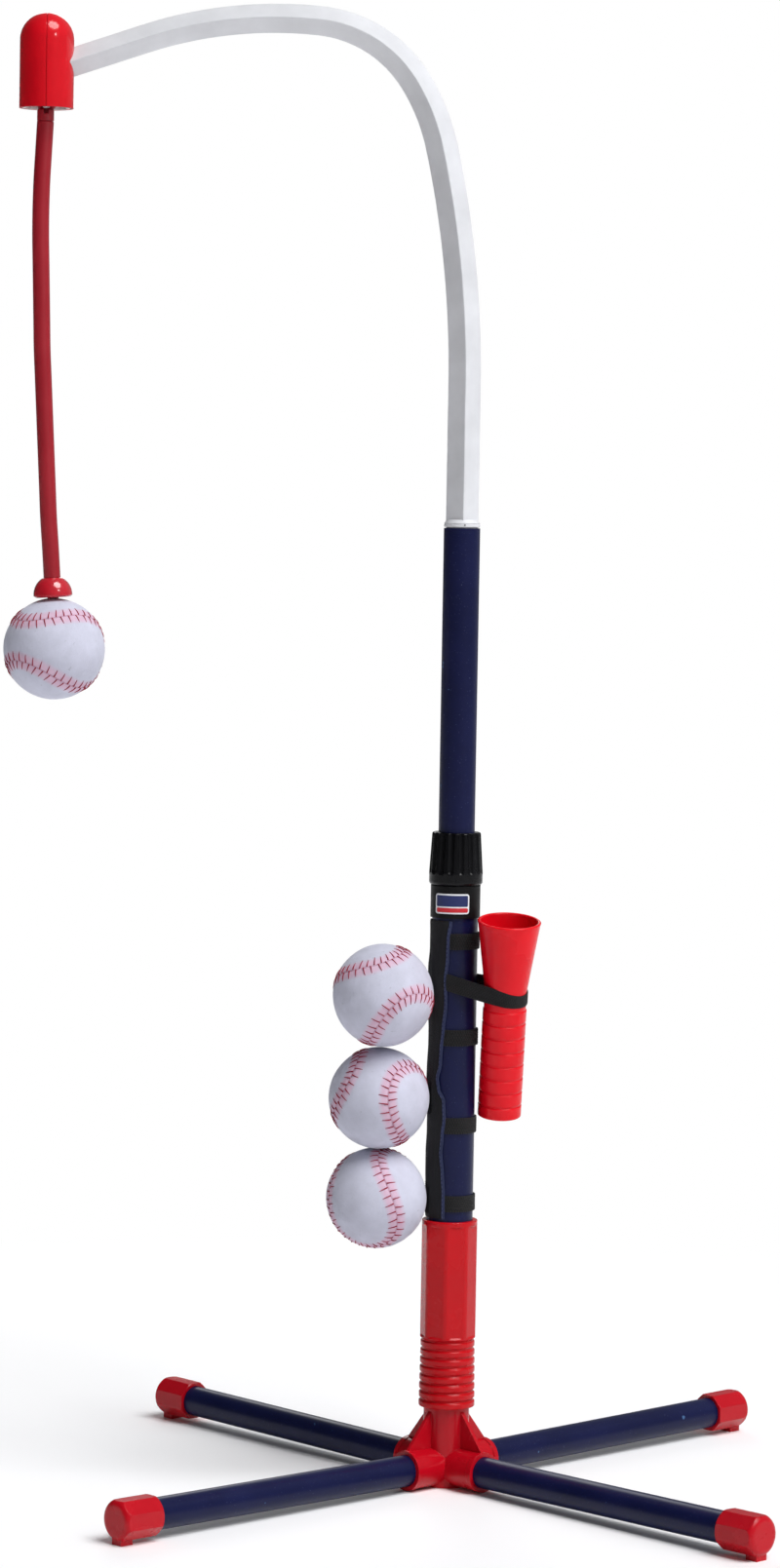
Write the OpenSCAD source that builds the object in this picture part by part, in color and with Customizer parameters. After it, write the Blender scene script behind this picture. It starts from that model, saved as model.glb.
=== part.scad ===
// Batting tee: a four-legged base, a telescopic post and a curved arm that hangs a
// tethered ball, with a fabric holder on the post for three balls and a tee topper.
// The post stands on the Z axis, the floor is z = 0, and the arm reaches towards -X.

/* [Base] */
// Radius of the circle that the feet stand on
foot_reach = 311; // [260:1:360]
// Diameter of each leg tube
leg_d = 22.5; // [20:0.5:24]
// Height of the leg axes at the middle of the hub
leg_axis_z = 14.5; // [14.5:0.1:16]
// Upward slope of the legs, in degrees
leg_slope = 0.5; // [0:0.1:1]
// Outer diameter of the leg sockets
socket_d = 27.8; // [27:0.1:29]
// Distance from the post axis to the rim of each leg socket
socket_reach = 40; // [36:1:48]
// Height of the shoulder where the post starts
hub_top_z = 57.7; // [50:0.1:64]
// Distance across the flats of a leg end cap
cap_flats = 27; // [26:0.5:30]
// Length of a leg end cap
cap_len = 33; // [28:1:40]

/* [Post] */
// Outer diameter of the lower tube
lower_d = 33; // [32:0.1:34]
// Outer diameter of the upper tube
upper_d = 26; // [25:0.1:27]
// Wall of both tubes
tube_wall = 1.5; // [1.2:0.1:1.8]
// Height of the top of the base sleeve
sleeve_top_z = 193.7; // [180:0.1:195]
// Diameter of the base sleeve
sleeve_d = 40; // [38.5:0.5:44]
// Height of the bottom of the collar band
band_z = 412.9; // [412:0.1:416]
// Height of the bottom of the twist collar
knob_z = 436.1; // [434:0.1:440]
// Height of the top of the twist collar
knob_top_z = 474.1; // [472:0.1:480]
// Greatest diameter of the twist collar
knob_d = 38.5; // [38:0.1:42]
// Number of flutes on the twist collar
flutes = 16; // [12:1:20]
// Height of the top of the upper tube
upper_top_z = 692; // [640:0.1:740]

/* [Arm] */
// Turn of the arm towards the front, in degrees
arm_yaw = 5; // [0:1:30]
// Corner to corner size of the arm at the post
arm_diag = 23.3; // [22:0.1:24]
// Corner to corner size of the arm at its tip
tip_diag = 20; // [18:0.1:20.2]
// Diameter of the domed cap at the end of the arm
dome_d = 38.5; // [37:0.1:40]

/* [Balls] */
// Diameter of each ball
ball_d = 72.4; // [71:0.1:72.6]
// Thickness of a ball's cover
cover_t = 1.3; // [1:0.1:2]
// Diameter of the rubber tether
tether_d = 12; // [10:0.5:12]

/* [Holder] */
// Direction that the ball holder faces, in degrees from +X
holder_az = 194; // [190:1:198]
// Half of the angle that the holder strip covers on the tube
strip_half = 56; // [50:1:58]
// Width of the elastic bands
band_w = 12; // [10:1:14]

/* [Topper] */
// Length of the tee topper
topper_len = 145.6; // [140:0.1:150]
// Diameter of the tee topper's rim
topper_rim_d = 45.6; // [44:0.1:46]
// Diameter of the tee topper's grip
topper_grip_d = 31.5; // [31:0.1:31.6]
// Lean of the tee topper, in degrees
topper_tilt = 10.1; // [8:0.1:12]

/* [Hidden] */

$fn = 96;
eps = 0.01;
fit = 0.05;
red = [0.75, 0.12, 0.16];
navy = [0.14, 0.16, 0.29];
black = [0.08, 0.08, 0.09];
white = [0.92, 0.93, 0.94];

lower_r = lower_d / 2;
upper_r = upper_d / 2;
lower_bore_r = lower_r - tube_wall;
upper_bore_r = upper_r - tube_wall;
leg_angles = [225, 315, 45, 135];
leg_start = 17;
leg_end_gap = 3;

// Collar stack, from the band up to the top of the twist collar
tube_top_z = knob_z - 4;
band_r = 17.85;
spigot_r = 15.2;
spigot_top_z = knob_z + 14;
collet_top_z = spigot_top_z + 16;

// Upper tube parts
upper_low_z = 285;
bushing_len = 30;
ring_z = upper_top_z + 0.7;
ring_top_z = ring_z + 5.1;

// Arm: a straight rise, four bends as [radius, angle], and a straight tip
arm_rise = 96;
arm_bends = [[750, 13], [145, 20], [90, 52], [300, 24]];
arm_tip = 67;
bend_step = 2.5;

// Stations of the arm's centre line as [reach, height, heading]
function travel(h) = [sin(h), cos(h)];
function bend_points(from, h, radius, turn) = let (n = ceil(turn / bend_step)) [
    for (k = [1:n]) let (g = h + turn * k / n) [
        from[0] + radius * (cos(h) - cos(g)), from[1] + radius * (sin(g) - sin(h)), g
    ]
];
function bend_chain(points, i) = i == len(arm_bends) ? points : let (
    p = points[len(points) - 1],
    more = bend_points([p[0], p[1]], p[2], arm_bends[i][0], arm_bends[i][1])
) bend_chain(concat(points, more), i + 1);
function run_on(points, d) = let (p = points[len(points) - 1], t = travel(p[2]))
    concat(points, [[p[0] + d * t[0], p[1] + d * t[1], p[2]]]);
arm_stations = run_on(bend_chain(run_on([[0, ring_top_z, 0]], arm_rise), 0), arm_tip);
arm_end = arm_stations[len(arm_stations) - 1];

// Domed cap and the swing pin inside it
dome_u = 300;
dome_z = 983.8;
dome_top_z = 1051;
dome_r = dome_d / 2;
dome_wall = 2.2;
dome_inner_r = dome_r - dome_wall;
dome_ring_t = 2;
dome_ring_h = 8;
seam_gap = 0.4;
seam_deep = 0.35;
pivot_z = 987;
pin_r = 1.5;
eye_r = 5;
eye_t = 1.7;
sway_max = 40.5;

// Tether route as [reach from the post axis, height]
tether_route = [
    [300.5, 975], [301.5, 955], [302.5, 935], [303, 915], [303, 895], [302.5, 875],
    [302, 855], [301.5, 835], [301, 815], [300, 795], [299, 775], [298, 755],
    [297, 735], [296, 715], [295, 695], [293.5, 675], [292.5, 660], [292, 652]
];
bell_r = 13.8;
bell_top = [292, 652];
bell_tilt = 3.6;
bell_len = 13.8;
hung_ball = [289.9, 601.4];
stem_r = 4;
stem_deep = 20;
stem_lean = atan2(bell_top[0] - bell_len * sin(bell_tilt) - hung_ball[0], bell_top[1] - bell_len - hung_ball[1]);

// Stored balls as [direction, height], and their distance from the post axis
stored = [[204, 357.5], [198, 282.9], [195, 210.2]];
stored_r = 54.7;
ball_r = ball_d / 2;

// Fabric holder
strip_low_z = 196;
strip_top_z = 411;
strip_in_r = lower_r + 0.02;
strip_out_r = lower_r + 1.22;
piping_r = 1;
piping_at = 3.5;
band_gap = 7;
band_mid_z = [396.3, 327, 263.5, 207];

// Tee topper: the middle of its lower end, the direction it leans, and its sections
topper_at = [34.2, 4, 269.6];
topper_lean_az = -78.7;
grip_len = 84;
topper_neck_r = 14.8;
topper_bore_r = upper_r + 0.1;
loop_z = 366;
loop_drop = 15;

// ---------- shared shapes ----------

// A ring or part of a ring around Z, from angle a0 through sweep degrees
module band_ring(r_in, r_out, z0, z1, a0 = 0, sweep = 360) {
    rotate([0, 0, a0])
        rotate_extrude(angle = sweep)
            translate([r_in, z0])
                square([r_out - r_in, z1 - z0]);
}

module tube(r_in, r_out, z0, z1) {
    difference() {
        translate([0, 0, z0])
            cylinder(r = r_out, h = z1 - z0);
        translate([0, 0, z0 - 1])
            cylinder(r = r_in, h = z1 - z0 + 2);
    }
}

// Turns the arm's own frame, x outwards and z up, into the part's frame
module in_arm_plane() {
    rotate([0, 0, 180 + arm_yaw])
        children();
}

// Turns a leg's own frame, x outwards along the leg's axis, into the part's frame
module along_leg(i) {
    rotate([0, 0, leg_angles[i - 1]])
        translate([0, 0, leg_axis_z])
            rotate([0, -leg_slope, 0])
                children();
}

// Turns the topper's own frame, z from its lower end to its rim, into the part's frame
module in_topper_frame() {
    translate(topper_at)
        rotate([0, topper_tilt, topper_lean_az])
            children();
}

// Heading of a route at point i, measured from +Z towards +X
function heading(route, i) = let (
    a = route[max(i - 1, 0)],
    b = route[min(i + 1, len(route) - 1)]
) atan2(b[0] - a[0], b[1] - a[1]);

// Sweeps a regular outline with n corners along [x, z, heading] stations
module sweep(stations, radii, n) {
    count = len(stations);
    points = [
        for (i = [0:count - 1]) for (k = [0:n - 1]) let (
            s = stations[i],
            a = 360 * k / n,
            across = radii[i] * cos(a)
        ) [s[0] + across * cos(s[2]), radii[i] * sin(a), s[1] - across * sin(s[2])]
    ];
    sides = [
        for (i = [0:count - 2]) for (k = [0:n - 1]) let (m = (k + 1) % n)
            [i * n + k, (i + 1) * n + k, (i + 1) * n + m, i * n + m]
    ];
    first = [for (k = [0:n - 1]) k];
    last = [for (k = [n - 1:-1:0]) (count - 1) * n + k];
    polyhedron(points, concat(sides, [first, last]), convexity = 10);
}

// ---------- base ----------

module base_hub() {
    color(red)
        difference() {
            union() {
                cylinder(r = lower_r, h = hub_top_z);
                cylinder(r = lower_bore_r - fit, h = hub_top_z + 47);
                for (i = [1:4])
                    along_leg(i)
                        rotate([0, 90, 0])
                            hub_socket();
                for (a = leg_angles)
                    rotate([90, 0, a])
                        translate([0, 0, -1.5])
                            linear_extrude(3)
                                polygon([[lower_r - 2, 20], [lower_r - 2, hub_top_z - 2.5],
                                    [lower_r, hub_top_z - 2.5], [socket_reach - 1, 28], [socket_reach - 1, 20]]);
            }
            for (i = [1:4])
                along_leg(i)
                    translate([leg_start, 0, 0])
                        rotate([0, 90, 0])
                            cylinder(r = leg_d / 2 + fit, h = socket_reach);
            translate([0, 0, -50])
                cube([200, 200, 100], center = true);
        }
}

module hub_socket() {
    cylinder(r = socket_d / 2, h = socket_reach - 3.5);
    translate([0, 0, socket_reach - 4])
        cylinder(r = socket_d / 2 + 0.5, h = 4);
}

module leg(i) {
    color(navy)
        along_leg(i)
            rotate([0, 90, 0])
                tube(leg_d / 2 - tube_wall, leg_d / 2, leg_start, foot_reach - leg_end_gap);
}

module leg_cap(i) {
    corner_r = cap_flats / 2 / cos(22.5);
    round_r = 5;
    color(red)
        difference() {
            union() {
                along_leg(i)
                    rotate([0, 90, 0])
                        intersection() {
                            translate([0, 0, foot_reach - cap_len])
                                rotate([0, 0, 22.5])
                                    cylinder(r = corner_r, h = cap_len, $fn = 8);
                            rotate_extrude()
                                cap_outline(corner_r, round_r);
                        }
                rotate([0, 0, leg_angles[i - 1]])
                    translate([foot_reach - 12, -5, 0])
                        cube([10, 10, 6]);
            }
            along_leg(i)
                rotate([0, 90, 0])
                    cylinder(r = leg_d / 2 + fit, h = foot_reach - leg_end_gap);
        }
}

module cap_outline(corner_r, round_r) {
    z0 = foot_reach - cap_len;
    polygon(concat(
        [[0, z0], [corner_r - 1, z0], [corner_r, z0 + 1]],
        [for (a = [0:15:90]) [corner_r - round_r + round_r * cos(a), foot_reach - round_r + round_r * sin(a)]],
        [[0, foot_reach]]
    ));
}

// ---------- post ----------

module base_sleeve() {
    rings = 8;
    pitch = 6.25;
    panels = 8;
    panel_deep = 1.1;
    panel_turn = -95.5;
    rib_top = hub_top_z + rings * pitch;
    r = sleeve_d / 2;
    color(red)
        difference() {
            union() {
                tube(lower_r + fit, r - 2, hub_top_z, rib_top);
                for (k = [0:rings - 1])
                    translate([0, 0, hub_top_z + k * pitch])
                        rotate_extrude()
                            sleeve_ring(k == 0 ? r + 0.2 : r - 0.5, pitch);
                tube(lower_r + fit, r, rib_top, sleeve_top_z);
            }
            for (k = [0:panels - 1])
                rotate([0, 0, (k + 0.5) * 360 / panels + panel_turn])
                    translate([r - panel_deep, -r / 2, rib_top + 1])
                        cube([5, r, sleeve_top_z - rib_top - 4]);
        }
}

module sleeve_ring(r, pitch) {
    polygon([[lower_r + fit, 0], [r - 0.8, 0], [r, 0.9], [r, pitch - 2.6], [r - 0.8, pitch - 1.7],
        [lower_r + fit, pitch - 1.7]]);
}

module lower_tube() {
    color(navy)
        tube(lower_bore_r, lower_r, hub_top_z, tube_top_z);
}

module collar_band() {
    color(black)
        rotate_extrude()
            polygon([[lower_r + 0.02, band_z], [band_r, band_z], [band_r, knob_z], [spigot_r, knob_z],
                [spigot_r, spigot_top_z], [upper_r + fit, spigot_top_z], [upper_r + fit, tube_top_z],
                [lower_r + 0.02, tube_top_z]]);
}

module collar_badge() {
    color(white)
        band_ring(band_r + 0.01, band_r + 0.4, band_z + 2.8, band_z + 18, 217, 88);
}

module clamp_collet() {
    color(white)
        difference() {
            rotate_extrude()
                polygon([[upper_r + fit, spigot_top_z], [spigot_r - 0.2, spigot_top_z],
                    [upper_r + 1, collet_top_z], [upper_r + fit, collet_top_z]]);
            translate([0, -1, spigot_top_z + 3])
                cube([30, 2, 30]);
        }
}

module twist_collar() {
    wide_z = knob_z + 9;
    top_r = knob_d / 2 - 2;
    slope = atan2(2, knob_top_z - wide_z);
    color(black)
        difference() {
            rotate_extrude()
                knob_outline(wide_z, top_r);
            for (k = [0:flutes - 1])
                rotate([0, 0, (k + 0.5) * 360 / flutes + 1])
                    translate([knob_d / 2 + 1.4, 0, wide_z + 1.3])
                        rotate([0, -slope, 0])
                            flute_cutter();
        }
}

module flute_cutter() {
    cylinder(r = 2.7, h = 40);
    sphere(r = 2.7);
}

module knob_outline(wide_z, top_r) {
    r = knob_d / 2;
    thread_r = spigot_r + fit;
    polygon([[thread_r, knob_z + 0.3], [r - 2.2, knob_z + 0.3], [r - 0.9, knob_z + 1], [r - 0.2, knob_z + 2.6],
        [r, wide_z], [top_r + 0.3, knob_top_z - 1.2], [top_r - 0.9, knob_top_z], [upper_r + 0.3, knob_top_z],
        [upper_r + 0.3, knob_top_z - 3], [upper_r + 1.4, collet_top_z + 0.6], [thread_r, spigot_top_z + 0.4]]);
}

module upper_tube() {
    color(navy)
        tube(upper_bore_r, upper_r, upper_low_z, upper_top_z);
}

module upper_bushing() {
    color(white)
        rotate_extrude()
            polygon([[upper_r + 0.02, upper_low_z], [upper_r + 0.02, upper_low_z + bushing_len],
                [lower_bore_r - fit, upper_low_z + bushing_len], [lower_bore_r - fit, upper_low_z - 3],
                [upper_bore_r, upper_low_z - 3], [upper_bore_r, upper_low_z]]);
}

// ---------- arm ----------

module arm_plug() {
    plug_len = 62;
    color(white)
        rotate_extrude()
            polygon([[0, ring_z - plug_len], [upper_bore_r - 1.5, ring_z - plug_len],
                [upper_bore_r - fit, ring_z - plug_len + 3], [upper_bore_r - fit, ring_z], [upper_r, ring_z],
                [upper_r, ring_z + 2], [upper_r - 0.7, ring_z + 2.5], [upper_r, ring_z + 3],
                [upper_r, ring_top_z], [0, ring_top_z]]);
}

module arm() {
    count = len(arm_stations);
    radii = [for (i = [0:count - 1]) (arm_diag + (tip_diag - arm_diag) * i / (count - 1)) / 2];
    color(white)
        in_arm_plane()
            sweep(arm_stations, radii, 4);
}

// Solid outer shape of the domed cap, grown or shrunk by d
module dome_solid(d) {
    r = dome_r + d;
    straight = dome_top_z - dome_r - dome_z;
    translate([dome_u, 0, dome_z - (d < 0 ? 1 : 0)]) {
        cylinder(r = r, h = straight + (d < 0 ? 1 : 0));
        translate([0, 0, straight + (d < 0 ? 1 : 0)])
            sphere(r = r);
    }
}

// Square bar on edge along the arm's tip, corner to corner size w
module tip_bar(w) {
    bar_len = 60;
    past_end = 3;
    translate([arm_end[0], 0, arm_end[1]])
        rotate([0, arm_end[2], 0])
            rotate([0, 0, 45])
                translate([0, 0, past_end - bar_len / 2])
                    cube([w / sqrt(2), w / sqrt(2), bar_len], center = true);
}

// side is 1 for the half that faces away from the post and -1 for the other
module dome_half(side) {
    color(red)
        in_arm_plane()
            difference() {
                intersection() {
                    dome_solid(0);
                    translate([dome_u + side * 50.02, 0, 1000])
                        cube([100, 100, 200], center = true);
                }
                difference() {
                    dome_solid(-dome_wall);
                    if (side < 0)
                        tip_saddle();
                }
                tip_bar(tip_diag + 0.5);
                difference() {
                    translate([dome_u, 0, 1000])
                        cube([seam_gap, 100, 200], center = true);
                    dome_solid(-seam_deep);
                }
            }
}

// White ring in the mouth of the domed cap, which carries the swing pin
module dome_ring() {
    color(white)
        in_arm_plane()
            difference() {
                translate([dome_u, 0, 0])
                    tube(dome_inner_r - dome_ring_t, dome_inner_r - fit, dome_z + 0.2, dome_z + dome_ring_h);
                translate([dome_u, 0, pivot_z])
                    rotate([90, 0, 0])
                        cylinder(r = pin_r + fit, h = 60, center = true);
            }
}

module tip_saddle() {
    intersection() {
        tip_bar(tip_diag + 5);
        translate([dome_u - 25.1, 0, 1010])
            cube([50, 50, 60], center = true);
    }
}

module swing_pin() {
    color("silver")
        in_arm_plane()
            translate([dome_u, 0, pivot_z])
                rotate([90, 0, 0])
                    cylinder(r = pin_r, h = 33, center = true);
}

module tether_eye() {
    shank_r = tether_d / 2;
    color(red)
        in_arm_plane() {
            translate([dome_u, 0, pivot_z])
                rotate([90, 0, 0])
                    rotate_extrude()
                        translate([eye_r, 0])
                            circle(r = eye_t);
            difference() {
                translate([dome_u + 0.5, 0, 975])
                    rotate_extrude()
                        polygon([[0, 0], [shank_r, 0], [shank_r, 7.5], [shank_r - 1.5, 9], [0, 9]]);
                sway_groove();
            }
        }
}

// The room the swing pin needs across the top of the tether when it sways
module sway_groove() {
    room = 0.15;
    reach = 9;
    top = -(pin_r + room) / cos(sway_max);
    side = top - reach * tan(sway_max);
    translate([dome_u, 0, pivot_z])
        rotate([90, 0, 90])
            linear_extrude(height = 2 * (pin_r + 0.1), center = true)
                polygon([[-reach, 0], [-reach, side], [0, top], [reach, side], [reach, 0]]);
}

module tether() {
    stations = [for (i = [0:len(tether_route) - 1])
        concat(tether_route[i], [i == 0 ? 180 : heading(tether_route, i)])];
    radii = [for (s = stations) tether_d / 2];
    color(red)
        in_arm_plane()
            sweep(stations, radii, 12);
}

module tether_bell() {
    dome_at = 12;
    color(red)
        in_arm_plane()
            translate([bell_top[0], 0, bell_top[1]])
                rotate([0, bell_tilt, 0])
                    rotate_extrude()
                        polygon(concat(
                            [[0, -0.01], [tether_d / 2 - 0.5, -0.01]],
                            [for (a = [60:-10:0]) [bell_r * cos(a), bell_r * sin(a) - dome_at]],
                            [[bell_r - 0.6, -bell_len], [0, -bell_len]]
                        ));
}

// ---------- balls ----------

module place_ball(i) {
    if (i == 0)
        in_arm_plane()
            translate([hung_ball[0], 0, hung_ball[1]])
                children();
    else
        rotate([0, 0, stored[i - 1][0]])
            translate([stored_r, 0, stored[i - 1][1]])
                children();
}

module ball_cover(i) {
    color(white)
        place_ball(i)
            difference() {
                sphere(r = ball_r);
                sphere(r = ball_r - cover_t);
                if (i == 0)
                    stem_hole();
            }
}

module ball_core(i) {
    color([0.8, 0.7, 0.5])
        place_ball(i)
            difference() {
                sphere(r = ball_r - cover_t - 0.02);
                if (i == 0)
                    stem_hole();
            }
}

module stem_hole() {
    rotate([0, stem_lean, 0])
        translate([0, 0, ball_r - stem_deep])
            cylinder(r = stem_r + 0.02, h = stem_deep + 5);
}

// Rubber stem that holds the hanging ball under the bell
module ball_stem() {
    color(red)
        place_ball(0)
            rotate([0, stem_lean, 0])
                translate([0, 0, ball_r - stem_deep])
                    cylinder(r = stem_r, h = stem_deep + 0.5);
}

// ---------- holder ----------

module holder_strip() {
    color(black)
        band_ring(strip_in_r, strip_out_r, strip_low_z, strip_top_z, holder_az - strip_half, 2 * strip_half);
}

module holder_piping() {
    color(navy)
        for (side = [-1, 1])
            rotate([0, 0, holder_az + side * (strip_half + piping_at)])
                translate([lower_r + piping_r + 0.1, 0, strip_low_z])
                    cylinder(r = piping_r, h = strip_top_z - strip_low_z, $fn = 24);
}

module hook_patches() {
    color(black)
        for (b = stored)
            band_ring(strip_out_r + 0.01, strip_out_r + 0.46, b[1] - 12, b[1] + 12, b[0] - 18, 36);
}

module elastic_band(i) {
    z = band_mid_z[i - 1];
    edge = strip_half + band_gap;
    color(black)
        band_ring(strip_in_r, lower_r + 1.4, z - band_w / 2, z + band_w / 2, holder_az + edge, 360 - 2 * edge);
}

module topper_loop() {
    edge = strip_half + band_gap;
    color(black)
        difference() {
            intersection() {
                loop_wrap(1.4);
                translate([0, 0, loop_z])
                    rotate([0, loop_drop, 0])
                        cube([200, 100, band_w], center = true);
            }
            loop_wrap(0);
            band_ring(0, 40, loop_z - 40, loop_z + 40, holder_az - edge, 2 * edge);
        }
}

// The shape that encloses both the post and the topper, grown by d
module loop_wrap(d) {
    hull() {
        translate([0, 0, loop_z - 40])
            cylinder(r = lower_r + 0.1 + d, h = 80, $fn = 64);
        in_topper_frame()
            translate([0, 0, 50])
                cylinder(r = topper_grip_d / 2 + 0.3 + d, h = 80, $fn = 64);
    }
}

module tee_topper() {
    rim_r = topper_rim_d / 2;
    grip_r = topper_grip_d / 2;
    rings = 8;
    pitch = 10.2;
    cup_floor = grip_len + 14;
    color(red)
        in_topper_frame()
            rotate_extrude()
                polygon(concat(
                    [[topper_bore_r, 0], [grip_r - 0.8, 0]],
                    [for (k = [0:rings - 1]) for (p = grip_ring(k * pitch, pitch, grip_r)) p],
                    [[topper_neck_r, grip_len], [topper_neck_r, grip_len + 6], [rim_r - 0.4, topper_len - 2],
                        [rim_r, topper_len - 1], [rim_r - 0.5, topper_len], [rim_r - 1.8, topper_len],
                        [rim_r - 2.4, topper_len - 1], [topper_bore_r, cup_floor + 3],
                        [8, cup_floor + 3], [8, cup_floor], [topper_bore_r, cup_floor]]
                ));
}

function grip_ring(z, pitch, r) = [
    [r, z + 0.8], [r, z + pitch - 3], [r - 0.8, z + pitch - 2.2], [r - 0.8, z + pitch - 0.4]
];

// ---------- output ----------

base_hub();
base_sleeve();
lower_tube();
collar_band();
collar_badge();
clamp_collet();
for (i = [1:4]) leg(i);
for (i = [1:4]) leg_cap(i);
holder_strip();
holder_piping();
hook_patches();
topper_loop();
for (i = [1:4]) elastic_band(i);
twist_collar();
upper_tube();
upper_bushing();
arm_plug();
arm();
dome_half(-1);  // dome_post_half
dome_half(1);  // dome_outer_half
dome_ring();
swing_pin();
tether_eye();
tether();
tether_bell();
ball_stem();
ball_cover(0);  // tether_ball_cover
ball_core(0);  // tether_ball_core
for (i = [1:3]) ball_cover(i);
for (i = [1:3]) ball_core(i);
tee_topper();
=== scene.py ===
"""Looks of the batting tee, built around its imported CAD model. All lengths are in metres."""
import math
import random

import bmesh
import bpy
import numpy as np
from mathutils import Euler, Matrix, Vector, noise


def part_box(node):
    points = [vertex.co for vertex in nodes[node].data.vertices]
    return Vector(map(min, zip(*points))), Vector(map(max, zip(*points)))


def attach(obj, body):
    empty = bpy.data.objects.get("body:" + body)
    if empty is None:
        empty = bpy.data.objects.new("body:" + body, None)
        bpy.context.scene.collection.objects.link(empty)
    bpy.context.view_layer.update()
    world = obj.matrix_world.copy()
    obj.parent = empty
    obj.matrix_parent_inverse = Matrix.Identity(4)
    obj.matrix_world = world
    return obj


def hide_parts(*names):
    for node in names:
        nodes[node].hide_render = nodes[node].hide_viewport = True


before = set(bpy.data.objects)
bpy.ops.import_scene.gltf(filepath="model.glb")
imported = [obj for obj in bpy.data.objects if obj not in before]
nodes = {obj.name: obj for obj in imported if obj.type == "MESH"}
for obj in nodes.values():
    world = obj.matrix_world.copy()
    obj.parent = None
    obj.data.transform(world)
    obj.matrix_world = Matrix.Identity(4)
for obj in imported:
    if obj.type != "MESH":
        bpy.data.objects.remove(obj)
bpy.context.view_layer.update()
scene = bpy.context.scene
MM = 0.001
TAU = 2 * math.pi
UP = Vector((0, 0, 1))
# Radii of the lower tube, of the upper tube and of a ball
LOWER_R = 16.5 * MM
UPPER_R = 13 * MM
BALL_R = 36.2 * MM
# The body that each ball belongs to
BALL_BODIES = {"tether_ball": "hanger", "ball_1": "ball_1", "ball_2": "ball_2", "ball_3": "ball_3"}


# ---------- camera and light ----------

def direction(azimuth):
    """Level unit vector at an azimuth in degrees from +X."""
    a = math.radians(azimuth)
    return Vector((math.cos(a), math.sin(a), 0))


def polar(radius, azimuth, z):
    return direction(azimuth) * radius + Vector((0, 0, z))


def add_camera():
    """Camera in front of the tee, turned and tilted by degrees."""
    place, turn, pitch, roll, lens = (0.0554, -3.2863, 0.7197), 1.81, -3.69, 0.97, 105.3
    data = bpy.data.cameras.new("camera")
    data.lens = lens
    data.sensor_width = 36
    camera = bpy.data.objects.new("camera", data)
    scene.collection.objects.link(camera)
    camera.matrix_world = (
        Matrix.Translation(place)
        @ Matrix.Rotation(math.radians(turn), 4, "Z")
        @ Matrix.Rotation(math.radians(90 + pitch), 4, "X")
        @ Matrix.Rotation(math.radians(roll), 4, "Z")
    )
    scene.camera = camera


def add_softbox(name, azimuth, height, distance, size, power):
    """A rectangular light at an azimuth around the post, pointing at the middle of the tee."""
    middle = Vector((-0.1, 0, 0.6))
    data = bpy.data.lights.new(name, "AREA")
    data.shape = "RECTANGLE"
    data.size, data.size_y = size
    data.energy = power
    lamp = bpy.data.objects.new(name, data)
    scene.collection.objects.link(lamp)
    lamp.location = polar(distance, azimuth, height)
    lamp.rotation_euler = (middle - lamp.location).to_track_quat("-Z", "Y").to_euler()


def add_studio():
    """White floor and a surround that the camera sees as white, and that lights the tee more from
    its right than from its left."""
    scene.view_settings.view_transform = "Standard"
    world = bpy.data.worlds.new("studio")
    scene.world = world
    world.use_nodes = True
    t = Tree(world.node_tree)
    way = t.add("ShaderNodeTexCoord").outputs["Generated"]
    side = t.add("ShaderNodeSeparateXYZ", Vector=way).outputs["X"]
    glow = t.ramp(side, -0.7, 0.8, 0.06, 0.38)
    to_camera = t.add("ShaderNodeLightPath").outputs["Is Camera Ray"]
    around = t.add("ShaderNodeBackground", Color=(0.95, 0.97, 1, 1), Strength=glow)
    seen = t.add("ShaderNodeBackground", Color=(1, 1, 1, 1), Strength=1.0)
    t.link(t.mix_shader(to_camera, around, seen), t.add("ShaderNodeOutputWorld").inputs["Surface"])

    corners = [(-6, -6, 0), (6, -6, 0), (6, 6, 0), (-6, 6, 0)]
    floor = mesh_object("floor", corners, [(0, 1, 2, 3)], floor_paint())
    overhead = bpy.data.lights.new("overhead", "SUN")
    overhead.energy = 2.9
    overhead.angle = math.radians(36)
    lamp = bpy.data.objects.new("overhead", overhead)
    scene.collection.objects.link(lamp)
    lamp.rotation_euler = (math.radians(19), math.radians(25), 0)
    add_softbox("key_light", 308, 1.95, 2.5, (0.3, 0.4), 9)
    add_softbox("rear_light", 100, 1.6, 2.4, (0.8, 1.2), 9)


# ---------- material tools ----------

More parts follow.
